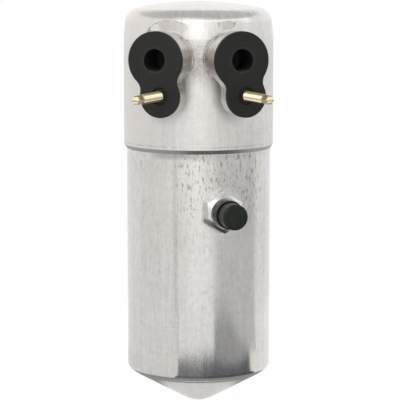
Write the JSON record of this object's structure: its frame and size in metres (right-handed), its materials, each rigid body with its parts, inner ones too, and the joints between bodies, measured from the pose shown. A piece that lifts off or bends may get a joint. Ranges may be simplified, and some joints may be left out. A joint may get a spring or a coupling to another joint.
{
  "type": "receiver drier",
  "caption": "Aluminium air-conditioning receiver drier: domed can with studded port blocks under keyhole covers, a capped service valve, and a desiccant bag and pickup tube inside.",
  "frame": {"origin": "on the can's axis, in the middle of the plain band that a bracket clamps, 65.8 mm above the lowest point of the nub", "axes": "+Z along the can's axis towards the domed end, -Y towards the front between the ports, +X to the right of someone facing the front"},
  "size_m": [0.0934, 0.1423, 0.2534],
  "materials": {
    "drawn_aluminium": "satin, drawn and lightly brushed along the can, bare",
    "machined_aluminium": "machined, bare, with a dull heat-marked weld at its foot",
    "tube_aluminium": "drawn tube, bare",
    "yellow_zinc": "yellow passivated zinc plate on steel",
    "spring_steel": "bright drawn wire",
    "cover_plastic": "matte black moulded polyethylene",
    "cap_plastic": "black moulded nylon, faint sheen",
    "deflector_nylon": "natural moulded nylon",
    "tie_nylon": "natural moulded nylon",
    "cage_nylon": "black moulded nylon",
    "seal_rubber": "black moulded rubber",
    "core_brass": "turned brass",
    "bag_felt": "white needled felt, stitched shut",
    "mesh": "fine woven polyester mesh"
  },
  "bodies": {
    "can": {"upper_shell": "drawn_aluminium", "lower_shell": "drawn_aluminium", "inlet_port_block": "machined_aluminium", "outlet_port_block": "machined_aluminium", "port_studs": "yellow_zinc", "service_fitting": "machined_aluminium", "valve_core_body": "core_brass", "valve_core_gasket": "seal_rubber", "valve_spring": "spring_steel", "pickup_tube": "tube_aluminium", "deflector": "deflector_nylon", "desiccant_bag": "bag_felt", "bag_ties": "tie_nylon", "bleed_filter_cage": "cage_nylon", "bleed_screen": "mesh"},
    "inlet_cover": {"inlet_cover": "cover_plastic"},
    "outlet_cover": {"outlet_cover": "cover_plastic"},
    "cap_seal": {"cap_seal": "seal_rubber"},
    "service_cap": {"service_cap": "cap_plastic"},
    "valve_pin": {"valve_pin": "core_brass", "valve_seat_washer": "seal_rubber"}
  },
  "joints": [
    {"name": "inlet_cover_pull", "type": "slide", "parent": "can", "child": "inlet_cover", "axis": [-0.3843, -0.9232, 0], "range_m": [0, 0.045]},
    {"name": "outlet_cover_pull", "type": "slide", "parent": "can", "child": "outlet_cover", "axis": [0.3843, -0.9232, 0], "range_m": [0, 0.045]},
    {"name": "cap_lift", "type": "slide", "parent": "can", "child": "cap_seal", "axis": [0.309, -0.9511, 0], "range_m": [0, 0.0075]},
    {"name": "cap_turn", "type": "hinge", "parent": "cap_seal", "child": "service_cap", "pos_m": [0.02039, -0.06277, 0.0615], "axis": [0.309, -0.9511, 0], "range_deg": [0, 2160]},
    {"name": "valve_press", "type": "slide", "parent": "can", "child": "valve_pin", "axis": [0.309, -0.9511, 0], "range_m": [-0.0012, 0], "stiffness_N_per_m": 600, "springref_m": 0.002, "deforming": ["valve_spring"]}
  ],
  "couplings": [
    {"joint": "cap_lift", "follows": "cap_turn", "m_per_rad": 0.00019894}
  ]
}
